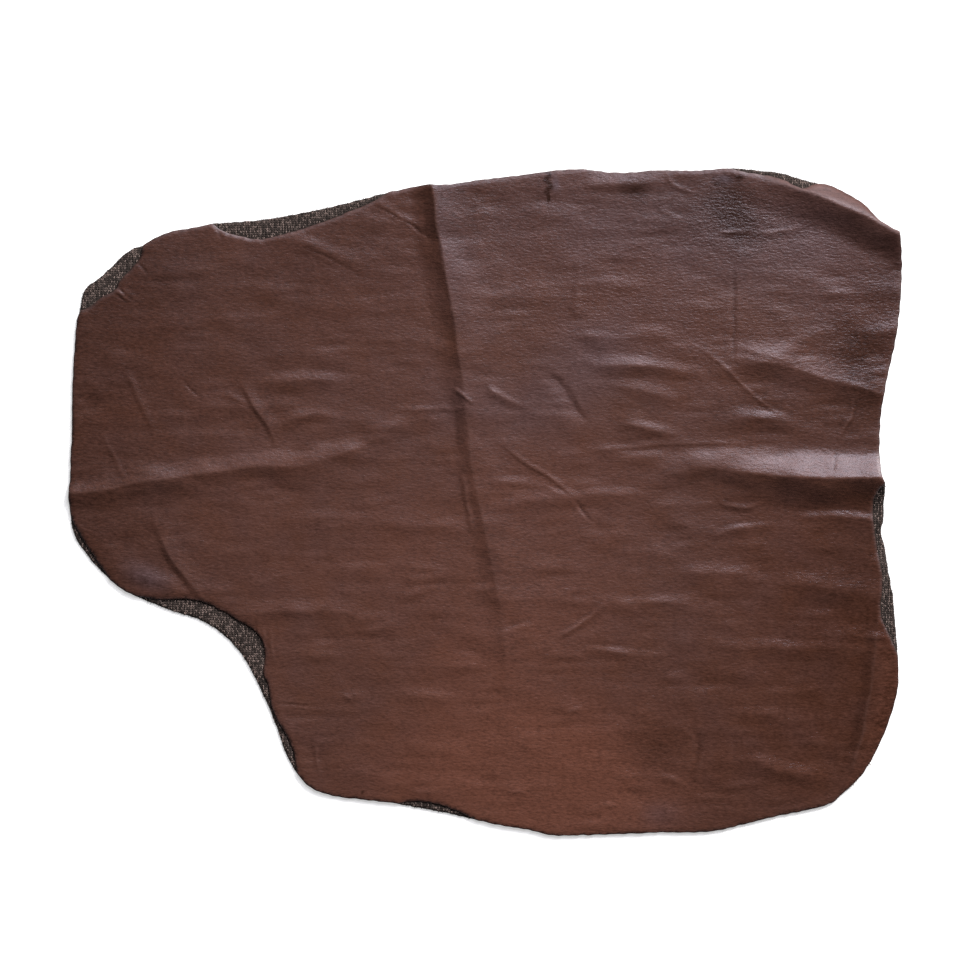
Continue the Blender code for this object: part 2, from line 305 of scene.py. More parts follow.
# %% List the folds
Fold = namedtuple("Fold", "name left_reach right_reach crispness crest")
FOLDS = (
    Fold("spine, upper half", 62, 20, 0.9, (
        (-46, 275, 4.6), (-41, 227, 4.4), (-34, 192, 4.0), (-25, 142, 3.2), (-21, 109, 2.6),
        (-17, 90, 1.6), (-12, 62, 0),
    )),
    Fold("spine, lower half", 50, 14, 0.7, (
        (-22, 100, 0), (-19, 86, 1.0), (-16, 66, 1.5), (-11, 26, 1.7), (1, -32, 1.5), (11, -82, 1.2),
        (15, -115, 0.9), (22, -214, 0),
    )),
    Fold("fold of the left end", 15, 20, 0.5, (
        (-352, 6, 2.4), (-302, 13, 2.3), (-254, 20, 2.2), (-232, 24, 2.2), (-206, 27, 2.2),
        (-178, 31, 2.2), (-156, 29, 2.2), (-139, 33, 1.9), (-113, 42, 1.4), (-99, 49, 1.1),
        (-71, 68, 0.7), (-54, 76, 0.5), (-29, 77, 0),
    )),
    Fold("ridge of the right end", 26, 28, 0.4, (
        (160, 31, 0), (190, 27, 2), (218, 24, 4.6), (245, 21, 6.4), (272, 20, 7.2), (301, 19.5, 7.6),
        (345, 18, 7.6),
    )),
    Fold("low ridge below it", 7, 14, 0.4, (
        (240, -11, 0), (285, -12, 0.7), (322, -15, 0.9), (345, -16, 0.9),
    )),
    Fold("roll of the upper right corner", 20, 28, 0.4, (
        (195, 273, 0), (231, 265, 2.4), (260, 257.5, 5), (285, 248.5, 6.3), (310, 238, 6.8),
        (352, 216, 6.8),
    )),
    Fold("curl of the lower right edge", 26, 10, 0.5, (
        (325, -92, 0.4), (320, -140, 1.8), (311, -195, 1.8), (298, -232, 0.3),
    )),
    Fold("lip of the upper edge", 9, 9, 0.2, (
        (80, 262, 0), (100, 264, 0.8), (132, 264, 0.8), (160, 266, 0),
    )),
    Fold("first wave right of the spine", 10, 11, 0.4, (
        (84, 111, 0), (108, 113, 1.4), (140, 112, 1.5), (165, 108, 0.8), (182, 104, 0),
    )),
    Fold("second wave right of the spine", 9, 10, 0.3, ((100, 98, 0), (136, 90, 1.0), (168, 81, 0))),
    Fold("third wave right of the spine", 8, 9, 0.3, ((102, 67, 0), (136, 60, 0.8), (168, 52, 0))),
    Fold("wave to the right end", 22, 18, 0.5, (
        (185, 106, 0), (210, 113, 1.6), (232, 115, 2.5), (254, 111, 2.4), (278, 103, 1.9),
        (303, 95, 1.7), (324, 90, 1.7), (348, 86, 1.7),
    )),
    Fold("branch of that wave", 10, 12, 0.2, ((236, 117, 0), (262, 133, 0.8), (290, 143, 0))),
    Fold("wave at the right end", 10, 12, 0.2, ((305, 137, 0), (326, 140, 1.1), (352, 145, 1.2))),
    Fold("wave above the ridge", 10, 12, 0.3, (
        (186, 65, 0), (214, 69, 1.0), (243, 67, 0.8), (265, 60, 0),
    )),
    Fold("crease above the ridge", 7, 3, 0.6, (
        (74, 42, 0), (102, 44, 0.4), (149, 47, 0.35), (198, 49, 0.3), (230, 49, 0),
    )),
    Fold("rise to the ridge", 16, 14, 0.1, ((122, 7, 0), (150, 21, 1), (172, 29, 1.2), (204, 38, 0))),
    Fold("pinch beside the spine", 5, 8, 0.7, (
        (0, 96, 0), (6, 91, 0.8), (18, 85, 0.7), (30, 80, 0.3), (42, 77, 0),
    )),
    Fold("first slant below the pinch", 5, 3.5, 0.7, (
        (8, 50, 0), (32, 33, 0.4), (61, 14, 0.4), (76, 3, 0),
    )),
    Fold("second slant below the pinch", 5, 5, 0.4, ((20, 15, 0), (49, 10, 0.3), (78, 2, 0))),
    Fold("slant down the right half", 3, 4, 0.8, (
        (160, 138, 0), (199, 111, 0.4), (222, 87, 0.35), (252, 66, 0),
    )),
    Fold("wave left of the spine", 10, 12, 0.2, (
        (-185, 218, 0), (-154, 215, 0.6), (-121, 203, 0.7), (-95, 189, 0),
    )),
    Fold("slant into the spine", 6, 6, 0.5, (
        (-100, 254, 0), (-84, 243, 0.4), (-66, 233, 0.4), (-40, 221, 0),
    )),
    Fold("wave of the left half", 10, 12, 0.3, (
        (-190, 98, 0), (-165, 100, 0.9), (-140, 101, 0.9), (-108, 96, 0),
    )),
    Fold("arch of the left half", 9, 10, 0.3, (
        (-178, 58, 0), (-158, 70, 0.9), (-140, 74, 0.9), (-118, 68, 0),
    )),
    Fold("bent crease of the left half", 12, 4, 0.5, (
        (-203, 98, 0), (-192, 80, 0.8), (-181, 62, 0.8), (-172, 44, 0),
    )),
    Fold("crease of the upper left corner", 6, 8, 0.3, (
        (-322, 177, 0.2), (-299, 172, 0.6), (-284, 163, 0),
    )),
    Fold("wave of the upper left corner", 10, 10, 0.2, (
        (-295, 193, 0), (-258, 191, 0.7), (-220, 190, 0),
    )),
    Fold("wave above the bay", 13, 12, 0.3, (
        (-210, -97, 0), (-180, -92, 1.0), (-140, -90, 1.2), (-95, -92, 0),
    )),
    Fold("slant of the left end", 16, 6, 0.4, (
        (-278, -10, 0), (-262, -42, 1.0), (-245, -67, 1.0), (-230, -84, 0),
    )),
    Fold("wave of the lower left corner", 12, 12, 0.1, (
        (-318, -50, 0), (-290, -59, 0.9), (-265, -69, 0.9), (-240, -80, 0),
    )),
    Fold("wave below the left fold", 10, 14, 0.2, ((-172, -13, 0), (-113, -14, 0.9), (-58, -16, 0))),
    Fold("slant of the lower middle", 4, 5, 0.5, ((48, -121, 0), (78, -101, 0.4), (106, -80, 0))),
    Fold("crease of the lower middle", 6, 8, 0.3, ((65, -119, 0), (103, -124, 0.7), (150, -129, 0))),
    Fold("wave of the middle", 9, 12, 0.1, ((-5, -2, 0), (36, 1, 0.8), (103, 5, 0.8), (145, 3, 0))),
    Fold("crease below the ridge", 5, 8, 0.5, ((185, -30, 0), (205, -23, 0.8), (240, -18, 0))),
    Fold("first wave of the lower right", 11, 13, 0.2, ((160, -61, 0), (194, -58, 0.9), (228, -61, 0))),
    Fold("second wave of the lower right", 9, 11, 0.2, ((105, -86, 0), (145, -83, 0.8), (190, -86, 0))),
    Fold("third wave of the lower right", 16, 18, 0.2, (
        (228, -71, 0), (270, -70, 1.3), (305, -75, 1.2), (345, -81, 0.8),
    )),
    Fold("fourth wave of the lower right", 10, 14, 0.2, (
        (190, -122, 0), (240, -121, 0.9), (290, -122, 0.9), (320, -124, 0),
    )),
    Fold("first wave of the lower edge", 7, 9, 0.2, ((196, -176, 0), (220, -174, 0.6), (252, -175, 0))),
    Fold("second wave of the lower edge", 7, 9, 0.2, ((112, -177, 0), (140, -176, 0.6), (168, -177, 0))),
    Fold("rise of the lower edge", 12, 12, 0.1, (
        (190, -207, 0), (238, -222, 0.8), (270, -227, 0.7), (305, -230, 0),
    )),
)
print(len(FOLDS), "folds")

# %% [markdown]
# Between the folds the leather keeps finer creases, from being handled and rolled. They are listed the
# same way, with a height below 0 for a crease pressed inwards. They are too low for the model, so they
# stand only here, on the leather's upper face.

# %% List the fine creases
CREASES = (
    Fold("arc right of the pinch", 5, 13, 0.4, (
        (44, 112, 0), (57, 102, -0.5), (67.5, 90, -0.65), (75, 76, -0.65), (88, 61, 0),
    )),
    Fold("bright lip of the pinch", 3, 3, 0.7, (
        (-26, 92, 0), (-23, 91, 0.6), (-14, 84, 0.6), (-11, 82, 0),
    )),
    Fold("thin crease left of the pinch", 4, 3, 0.5, (
        (-84, 73, 0), (-60, 76, 0.25), (-25, 77, 0.3), (-20, 78, 0),
    )),
    Fold("line beside the spine", 4, 4, 0.5, (
        (-19, 26, 0), (-18, 14, 0.4), (-13, -15, 0.4), (-10, -28, 0),
    )),
    Fold("upright of the upper middle", 6, 6, 0.2, (
        (77, 200, 0), (76, 180, 0.3), (75, 160, 0.3), (75, 149, 0),
    )),
    Fold("upright of the right half", 4, 4, 0.3, (
        (205, 212, 0), (205, 180, -0.35), (205, 140, -0.4), (204, 111, 0),
    )),
    Fold("first pleat of the right end", 3, 4, 0.5, (
        (306, 88, 0), (301, 70, 0.5), (297, 62, 0.5), (291, 50, 0),
    )),
    Fold("second pleat of the right end", 4, 4, 0.6, (
        (284, 103, 0), (300, 98, 0.3), (315, 93, 0.3), (327, 88, 0),
    )),
    Fold("lip of the wave to the right end", 9, 5, 0.4, (
        (196, 130, 0), (215, 126, 0.4), (240, 119, 0.4), (256, 113, 0),
    )),
    Fold("line across the ridge", 2.5, 2.5, 0.5, ((286, 22, 0), (288, 32, -0.3), (290, 44, 0))),
    Fold("first curl of the upper edge", 3, 4, 0.6, (
        (146, 276, 0), (156, 262, 0.35), (165, 258, 0.3), (172, 255, 0),
    )),
    Fold("second curl of the upper edge", 3, 3, 0.5, ((141, 248, 0), (150, 251, 0.3), (160, 254, 0))),
    Fold("third curl of the upper edge", 3, 4, 0.5, ((143, 242, 0), (152, 238, 0.3), (164, 233, 0))),
    Fold("first streak of the loose grain", 3, 6, 0.6, ((188, 222, 0), (200, 223, 0.6), (216, 224, 0))),
    Fold("second streak of the loose grain", 3, 6, 0.6, ((218, 221, 0), (240, 224, 0.6), (264, 227, 0))),
    Fold("nick at the upper left edge", 2.5, 2.5, 0.6, (
        (-226, 231, 0), (-222, 224, -0.35), (-218, 216, 0),
    )),
    Fold("first cut line of the corner", 2.5, 2.5, 0.5, (
        (-307, 178, 0), (-299, 173, -0.45), (-286, 163, 0),
    )),
    Fold("second cut line of the corner", 2.5, 2.5, 0.5, (
        (-312, 175, 0), (-304, 170, -0.35), (-294, 163, 0),
    )),
    Fold("third cut line of the corner", 2.5, 2.5, 0.5, (
        (-291, 200, 0), (-285, 194, -0.35), (-278, 188, 0),
    )),
    Fold("first line of the upper left", 2.5, 2.5, 0.5, (
        (-97, 249, 0), (-80, 239, -0.35), (-46, 220, 0),
    )),
    Fold("second line of the upper left", 2.5, 2.5, 0.5, (
        (-70, 236, 0), (-58, 227, -0.3), (-43, 215, 0),
    )),
    Fold("third line of the upper left", 2.5, 2.5, 0.5, (
        (-160, 214, 0), (-135, 204, -0.3), (-98, 184, 0),
    )),
    Fold("short crease of the left half", 4, 4, 0.4, ((-219, 90, 0), (-208, 86, 0.4), (-196, 81, 0))),
    Fold("short slant of the left half", 2.5, 2.5, 0.5, (
        (-253, 103, 0), (-244, 93, -0.35), (-235, 84, 0),
    )),
    Fold("upright of the left end", 5, 4, 0.3, (
        (-303, 118, 0), (-291, 94, 0.3), (-281, 72, 0.3), (-272, 52, 0),
    )),
    Fold("faint slant of the left end", 3, 4, 0.3, ((-318, 58, 0), (-307, 37, 0.25), (-296, 14, 0))),
    Fold("first ripple of the bay", 3, 3, 0.2, ((-195, -94, 0), (-192, -108, 0.3), (-189, -118, 0))),
    Fold("second ripple of the bay", 3, 3, 0.2, ((-190, -96, 0), (-187, -112, 0.35), (-184, -125, 0))),
    Fold("third ripple of the bay", 3, 3, 0.2, ((-185, -99, 0), (-183, -115, 0.35), (-180, -132, 0))),
    Fold("fourth ripple of the bay", 3, 3, 0.2, ((-179, -104, 0), (-177, -120, 0.3), (-175, -136, 0))),
    Fold("crack of the lower left", 2, 2, 0.5, (
        (-178, -170, 0), (-168, -167, -0.3), (-154, -168, -0.3), (-128, -170, 0),
    )),
    Fold("upright of the lower left", 3, 3, 0.5, ((-143, -199, 0), (-140, -212, 0.3), (-136, -233, 0))),
    Fold("tick of the lower left", 2.5, 2.5, 0.5, ((-120, -158, 0), (-115, -161, 0.3), (-108, -166, 0))),
    Fold("light crease of the lower edge", 5, 6, 0.3, (
        (-76, -236, 0), (-55, -239, 0.4), (-34, -240, 0),
    )),
    Fold("dimple of the middle", 7, 8, 0.1, ((-75, -80, 0), (-62, -77, 0.6), (-48, -75, 0))),
    Fold("streak of the lower middle", 4, 5, 0.4, ((12, -108, 0), (28, -104, 0.5), (45, -101, 0))),
    Fold("upright crack of the middle", 3, 3, 0.5, ((71, 5, 0), (80, -7, -0.4), (89, -18, 0))),
    Fold("dash below the ridge", 4, 4, 0.5, ((190, 3, 0), (200, -3, 0.5), (215, -5, 0.5), (231, 1, 0))),
    Fold("first dash of the lower edge", 4, 4, 0.4, ((14, -241, 0), (24, -240, 0.4), (35, -241, 0))),
    Fold("second dash of the lower edge", 4, 4, 0.4, ((92, -250, 0), (100, -251, 0.4), (110, -252, 0))),
    Fold("third dash of the lower edge", 4, 4, 0.4, ((63, -175, 0), (72, -172, 0.4), (81, -170, 0))),
    Fold("bent crack of the lower right", 5, 5, 0.4, (
        (166, -182, 0), (176, -197, -0.5), (173, -220, -0.5), (167, -236, 0),
    )),
    Fold("left curl of the lower edge", 5, 6, 0.3, ((140, -226, 0), (152, -229, 0.5), (168, -235, 0))),
    Fold("light crease of the lower right", 6, 7, 0.2, (
        (190, -237, 0), (214, -234, 0.5), (240, -231, 0),
    )),
    Fold("slant crack of the middle", 3, 4, 0.5, ((56, -113, 0), (75, -103, 0.4), (100, -83, 0))),
)
print(len(CREASES), "fine creases")

# %% [markdown]
# The height at a point comes from the nearest place on a crest and the distance to it. numpy does this
# for all points near a fold at once. A crest's few points are first joined by a smooth curve through all
# of them, for a real fold has no corners.

# %% Work out one fold's height
CREST_STEPS = 5


def smooth_row(points):
    """The same row of points, joined by a smooth curve through all of them."""
    rows = np.array(points, float)
    rows = np.vstack((2.0 * rows[0] - rows[1], rows, 2.0 * rows[-1] - rows[-2]))
    smooth = []
    for before, start, end, after in zip(rows, rows[1:], rows[2:], rows[3:]):
        for share in np.arange(CREST_STEPS) / CREST_STEPS:
            bend = 2.0 * before - 5.0 * start + 4.0 * end - after
            twist = 3.0 * (start - end) + after - before
            smooth.append(start + share * (end - before + share * (bend + share * twist)) / 2.0)
    return np.array(smooth + [rows[-2]])


def flank(share, crispness):
    """Height left of a crest at a share of its reach: 1 on the crest and 0 at the foot."""
    share = np.minimum(share, 1.0)
    wave = 1.0 - share * share * (3.0 - 2.0 * share)
    crease = (1.0 - share) ** 2
    return wave + (crease - wave) * crispness


def add_fold(total, fold, x, y):
    """Adds one fold to the heights of many points, in millimetres."""
    crest = smooth_row(fold.crest)
    reach = max(fold.left_reach, fold.right_reach)
    low = crest[:, :2].min(axis=0) - reach
    high = crest[:, :2].max(axis=0) + reach
    near = np.nonzero((x > low[0]) & (x < high[0]) & (y > low[1]) & (y < high[1]))
    px = x[near]
    py = y[near]
    nearest = np.full(px.shape, np.inf)
    height = np.zeros(px.shape)
    for start, end in zip(crest, crest[1:]):
        along = end - start
        dx = px - start[0]
        dy = py - start[1]
        share = np.clip((dx * along[0] + dy * along[1]) / (along[0] ** 2 + along[1] ** 2), 0.0, 1.0)
        gap = np.hypot(dx - share * along[0], dy - share * along[1])
        on_left = along[0] * dy - along[1] * dx > 0.0
        foot = np.where(on_left, fold.left_reach, fold.right_reach)
        here = (start[2] + share * along[2]) * flank(gap / foot, fold.crispness)
        height = np.where(gap < nearest, here, height)
        nearest = np.minimum(nearest, gap)
    total[near] += height


def field(folds, x, y):
    """The sum of all folds of a table at many points."""
    total = np.zeros(np.shape(x))
    for fold in folds:
        add_fold(total, fold, x, y)
    return total


spots = np.array([[-40.0, 330.0, 0.0], [230.0, 18.0, -100.0]])
print("fold height at the spine, the right ridge and the lower middle:", field(FOLDS, *spots).round(2))

# %% [markdown]
# The cloth and the leather lie on the same folds. Soft fields of swells add what no table lists: the
# ripples in which leather lies, and an unevenness that makes each fold stronger here and weaker there, a
# low fold more so than a high one. Only the leather's upper face has the fine creases and wrinkles, and
# along its cut edge it is pared thin.

# %% Stack the faces of both layers on the folds
WANDER = 0.7
CREASE_WANDER = 0.5
UNEVEN = 0.16
STEADY_HEIGHT = 3.0
RIPPLES = 0.20
WRINKLES = 0.21
TAUT_HEIGHT = 4.0
PARED = 3.0
THIN_EDGE = 0.7


def lift(x, y):
    """Height in millimetres of the cloth's underside above the table."""
    wx = x + WANDER * swells(x, y, 50.0, 50.0, 3)
    wy = y + WANDER * swells(x, y, 50.0, 50.0, 4)
    folded = field(FOLDS, wx, wy)
    strength = 1.0 + UNEVEN * swells(x, y, 40.0, 40.0, 5) / (1.0 + folded / STEADY_HEIGHT)
    ripple = swells(x, y, 95.0, 30.0, 6) + 0.4 * swells(x, y, 45.0, 16.0, 7)
    raised = 0.5 * (ripple + np.sqrt(ripple * ripple + 0.2))
    return folded * strength + RIPPLES * raised


def wrinkles(x, y):
    """Height of the small wrinkles of the leather's upper face: soft swells, which come and go."""
    soft = swells(x, y, 60.0, 24.0, 33, 20) + 0.45 * swells(x, y, 30.0, 12.0, 34, 20)
    here = 0.6 + 0.5 * swells(x, y, 70.0, 50.0, 35)
    return WRINKLES * soft * np.clip(here, 0.2, 1.3)


def flesh_side(x, y):
    """Height of the leather's lower face."""
    return lift(x, y) + CLOTH + GLUE_GAP


def relief(x, y):
    """How the leather's upper face rises and falls. A high fold pulls the small wrinkles out of it."""
    wx = x + CREASE_WANDER * swells(x, y, 14.0, 14.0, 8)
    wy = y + CREASE_WANDER * swells(x, y, 14.0, 14.0, 9)
    folded = lift(x, y)
    slack = np.clip(1.3 - folded / TAUT_HEIGHT, 0.3, 1.0)
    return folded + field(CREASES, wx, wy) + wrinkles(x, y) * slack


def grain_side(x, y):
    """Height of the leather's upper face, which is pared down along the cut edge."""
    inside = edge_distance(np.column_stack((x.ravel(), y.ravel())), LEATHER_OUTLINE)
    thickness = np.interp(inside, (0.0, PARED), (THIN_EDGE, LEATHER)).reshape(x.shape)
    return relief(x, y) + CLOTH + GLUE_GAP + thickness


def cloth_top(x, y):
    """Height of the cloth's upper face, which the leather is bonded to."""
    return lift(x, y) + CLOTH


print("lift of the cloth at the same three places:", lift(*spots).round(2))

# %% [markdown]
# A sheet needs many points where it bends and few where it lies flat. So a fine square raster is tried:
# a point of it stays only if the sheet sags by more than a tolerance between its neighbours. Each point
# then moves a little at random, so that no rows of triangles show in the gloss.

# %% Choose the points of a sheet
HALF_LENGTH = 352.0
HALF_WIDTH = 284.0
JITTER = 0.22


def sag(z, step):
    """How far each point of a raster stands from the straight line between its neighbours."""
    along = np.roll(z, step, axis=1) + np.roll(z, -step, axis=1)
    across = np.roll(z, step, axis=0) + np.roll(z, -step, axis=0)
    return np.maximum(abs(along - 2.0 * z), abs(across - 2.0 * z)) / 2.0


def sheet_points(height, pitch, levels, tolerance, edge, seed):
    """Points in plan: a pitch apart where the sheet bends, and coarser where it is flat."""
    columns = np.arange(round(2.0 * HALF_LENGTH / pitch))
    rows = np.arange(round(2.0 * HALF_WIDTH / pitch))
    column, row = np.meshgrid(columns, rows)
    x = column * pitch - HALF_LENGTH
    y = row * pitch - HALF_WIDTH
    z = height(x, y)
    spacing = np.zeros(z.shape)
    for level in range(levels):
        step = 2 ** level
        here = (column % step == 0) & (row % step == 0)
        if level < levels - 1:
            here &= sag(z, step) > tolerance
        spacing[here] = step * pitch
    kept = spacing > 0.0
    points = np.column_stack((x[kept], y[kept]))
    spacing = spacing[kept]
    dice = np.random.default_rng(seed)
    points += dice.uniform(-JITTER, JITTER, points.shape) * spacing[:, None]
    return points[edge_distance(points, edge) > 0.45 * pitch]


print("the raster covers", 2.0 * HALF_LENGTH, "by", 2.0 * HALF_WIDTH, "mm")

# %% [markdown]
# Each sheet is one closed body. Blender's triangulation joins the points of its upper and its lower face
# inside the cut edge. Three rings of narrow faces make the rim, and the first and last of them round it
# over, as a blade and wear leave it. The lower two and the underside have a material of their own, for
# raw leather looks unlike its finish.

# %% Build a closed sheet
ROUNDING = 0.3


def drawn_in(edge, width):
    """The closed edge moved inwards by a width. The edge runs clockwise, so inwards is to its right."""
    along = np.roll(edge, -1, axis=0) - np.roll(edge, 1, axis=0)
    along /= np.hypot(*along.T)[:, None]
    return edge + width * np.column_stack((along[:, 1], -along[:, 0]))


def face_of_sheet(edge, points, height):
    """One face of a sheet: its places, its triangles, and which places lie round its edge."""
    count = len(edge)
    plan = [Vector(place) for place in np.vstack((edge, points))]
    ring = [(number, (number + 1) % count) for number in range(count)]
    places, _, triangles, origins, _, _ = delaunay_2d_cdt(plan, ring, [], 1, 0.001)
    flat = np.array(places)
    kept_as = {origin: number for number, group in enumerate(origins) for origin in group}
    solid = np.column_stack((flat, height(flat[:, 0], flat[:, 1])))
    return solid, triangles, [kept_as[number] for number in range(count)]


def closed_sheet(name, edge, upper, lower, upper_points, lower_points):
    """A sheet between two heights, with a rounded rim, as a new object."""
    inner = drawn_in(edge, ROUNDING)
    top, top_faces, top_ring = face_of_sheet(inner, upper_points, upper)
    base, base_faces, base_ring = face_of_sheet(inner, lower_points, lower)
    high = np.column_stack((edge, upper(*edge.T) - ROUNDING))
    low = np.column_stack((edge, lower(*edge.T) + ROUNDING))
    count = len(edge)
    places = np.vstack((top, high, low, base)) * MM
    high_ring = [len(top) + number for number in range(count)]
    low_ring = [place + count for place in high_ring]
    base_start = len(top) + 2 * count
    base_ring = [base_start + number for number in base_ring]
    faces = [tuple(face) for face in top_faces]
    finished = len(faces) + count
    for outer, within in ((high_ring, top_ring), (low_ring, high_ring), (base_ring, low_ring)):
        for number in range(count):
            after = (number + 1) % count
            faces.append((within[number], within[after], outer[after], outer[number]))
    faces += [tuple(base_start + corner for corner in reversed(face)) for face in base_faces]
    mesh = bpy.data.meshes.new(name)
    mesh.from_pydata(places.tolist(), [], faces)
    raw_faces = [int(number >= finished) for number in range(len(faces))]
    mesh.polygons.foreach_set("material_index", raw_faces)
    mesh.shade_smooth()
    mesh.set_sharp_from_angle(angle=math.radians(60.0))
    sheet = bpy.data.objects.new(name, mesh)
    bpy.context.scene.collection.objects.link(sheet)
    return sheet


def triangle_count(piece):
    """How many triangles a piece's faces come to."""
    return sum(len(face.vertices) - 2 for face in piece.data.polygons)


print("the rim is rounded by", ROUNDING, "mm")

# %% [markdown]
# The leather's grain side is what the eye sees, so it gets the most points: 2.4 mm apart everywhere, and
# half of that on creases. Its flesh side is hidden, and needs only enough to stay clear of the cloth.

# %% Make the leather
inner_leather = drawn_in(LEATHER_OUTLINE, ROUNDING)
leather = closed_sheet(
    "leather_sheet",
    LEATHER_OUTLINE,
    grain_side,
    flesh_side,
    sheet_points(grain_side, 1.2, 2, 0.012, inner_leather, 11),
    sheet_points(flesh_side, 2.4, 3, 0.06, inner_leather, 12),
)
print("leather:", triangle_count(leather), "triangles")

# %% [markdown]
# The cloth shows only in narrow strips, so it takes fewer points. It lies right on the table, with its
# underside flat wherever no fold lifts it.

# %% Make the backing cloth
inner_cloth = drawn_in(CLOTH_OUTLINE, ROUNDING)
cloth = closed_sheet(
    "backing_sheet",
    CLOTH_OUTLINE,
    cloth_top,
    lift,
    sheet_points(cloth_top, 2.4, 3, 0.05, inner_cloth, 13),
    sheet_points(lift, 2.4, 3, 0.06, inner_cloth, 14),
)
print("cloth:", triangle_count(cloth), "triangles")

# %% [markdown]
# Knitted yarn, its cut ends and the leather's torn fibres are all short round strands. One function
# makes a joined mesh of any number of them, by rings of points round each path. All paths of a call have
# the same number of points, so numpy can work on them together.

# %% Make many short strands
SIDES = 4


def strands(name, paths, radii, shade):
    """One mesh of closed tubes round rows of points, in millimetres. Each strand keeps its own shade."""
    paths = np.array(paths)
    amount, length = paths.shape[:2]
    along = np.gradient(paths, axis=1)
    along /= np.linalg.norm(along, axis=2)[..., None]
    side = np.cross(along, (0.05, 0.03, 1.0))
    side /= np.linalg.norm(side, axis=2)[..., None]
    top = np.cross(side, along)
    turn = np.arange(SIDES) * math.tau / SIDES
    ring = side[:, :, None] * np.cos(turn)[:, None] + top[:, :, None] * np.sin(turn)[:, None]
    places = paths[:, :, None] + ring * np.array(radii)[:, :, None, None]
    faces = []
    for strand in range(amount):
        start = strand * length * SIDES
        for step in range(length - 1):
            low = start + step * SIDES
            for number in range(SIDES):
                after = (number + 1) % SIDES
                faces.append((low + number, low + SIDES + number, low + SIDES + after, low + after))
        faces.append(tuple(range(start, start + SIDES)))
        last = start + (length - 1) * SIDES
        faces.append(tuple(reversed(range(last, last + SIDES))))
    mesh = bpy.data.meshes.new(name)
    mesh.from_pydata((places.reshape(-1, 3) * MM).tolist(), [], faces)
    mesh.shade_smooth()
    mesh.attributes.new("yarn_shade", "FLOAT", "POINT")
    mesh.attributes["yarn_shade"].data.foreach_set("value", np.repeat(shade, length * SIDES))
    piece = bpy.data.objects.new(name, mesh)
    bpy.context.scene.collection.objects.link(piece)
    return piece


print("each strand is a tube with", SIDES, "sides")

# %% [markdown]
# The backing is a fine knit. Its face is columns of stitches, each a V of two slanted legs. A weave like
# this is bump where it is small, but here the bare strips are so few that every stitch on them can be
# real. Most legs are charcoal, and some are pale, because the yarn is flecked.

# %% Knit the bare strips
COLUMN = 2.3
COURSE = 1.9
YARN = 0.3
LEG = ((-0.7, 0.12, -0.2), (-0.25, 0.35, 0.12), (0.3, 0.6, 0.12), (0.7, 0.72, -0.2))
knit_dice = random.Random(21)
columns = np.arange(-HALF_LENGTH, HALF_LENGTH, COLUMN)
courses = np.arange(-HALF_WIDTH, HALF_WIDTH, COURSE)
stitch_x, stitch_y = (spread.ravel() for spread in np.meshgrid(columns, courses))
stitch_x = stitch_x + 0.35 * swells(stitch_x, stitch_y, 30.0, 30.0, 22)
stitch_y = stitch_y + 0.35 * swells(stitch_x, stitch_y, 30.0, 30.0, 23)
stitches = np.column_stack((stitch_x, stitch_y))
stitches = stitches[edge_distance(stitches, CLOTH_OUTLINE) > 0.8]
stitches = stitches[edge_distance(stitches, LEATHER_OUTLINE) < -0.4]


def leg(x, y, way):
    """One leg of a stitch: it leaves the foot of the V, bulges and goes under the next course."""
    slant = knit_dice.uniform(-0.12, 0.12)
    return [(x + way * out + slant * along, y + along * COURSE * 0.8, rise) for along, out, rise in LEG]


legs = np.array([leg(x, y, way) for x, y in stitches for way in (-1.0, 1.0)])
legs[:, :, 2] += cloth_top(legs[:, :, 0], legs[:, :, 1])
flecks = [knit_dice.random() ** 1.1 for _ in legs]
thickness = [[YARN * 0.7, YARN, YARN, YARN * 0.7] for _ in legs]
knit = strands("knit_stitches", legs, thickness, flecks)
print("stitches:", len(stitches), "and", triangle_count(knit), "triangles")

# %% [markdown]
# Where a knit is cut, its loops open and short ends of yarn stand out, each its own way. They are
# strands too, set along the bare stretches of the cloth's edge.

# %% Fray the cut edge
END_SPACING = 1.1
fray_dice = random.Random(31)
bare = edge_distance(CLOTH_OUTLINE, LEATHER_OUTLINE) < -0.9
outwards = CLOTH_OUTLINE - drawn_in(CLOTH_OUTLINE, 1.0)
ends = []
for spot, out in zip(CLOTH_OUTLINE[bare], outwards[bare]):
    beside = np.array((out[1], -out[0]))
    for _ in range(2):
        root = spot + beside * fray_dice.uniform(-END_SPACING, END_SPACING) - out * 0.6
        lean = beside * fray_dice.uniform(-0.9, 0.9)
        size = fray_dice.uniform(0.5, 1.5)
        rise = fray_dice.uniform(0.35, 0.75)
        ends.append([
            (*root, rise),
            (*(root + (out + 0.3 * lean) * size * 0.6), rise + 0.1),
            (*(root + (out + 0.7 * lean) * size), rise + fray_dice.uniform(-0.15, 0.4)),
        ])
ends = np.array(ends)
ends[:, :, 2] += lift(ends[:, :, 0], ends[:, :, 1])
end_sizes = [[0.2, 0.17, 0.12] for _ in ends]
yarn_ends = strands("yarn_ends", ends, end_sizes, [fray_dice.random() ** 1.6 for _ in ends])
print("yarn ends:", len(ends), "and", triangle_count(yarn_ends), "triangles")

# %% [markdown]
# Torn leather leaves a few thin fibres. On this hide they hang at the lower right corner, where the cut
# was rough.

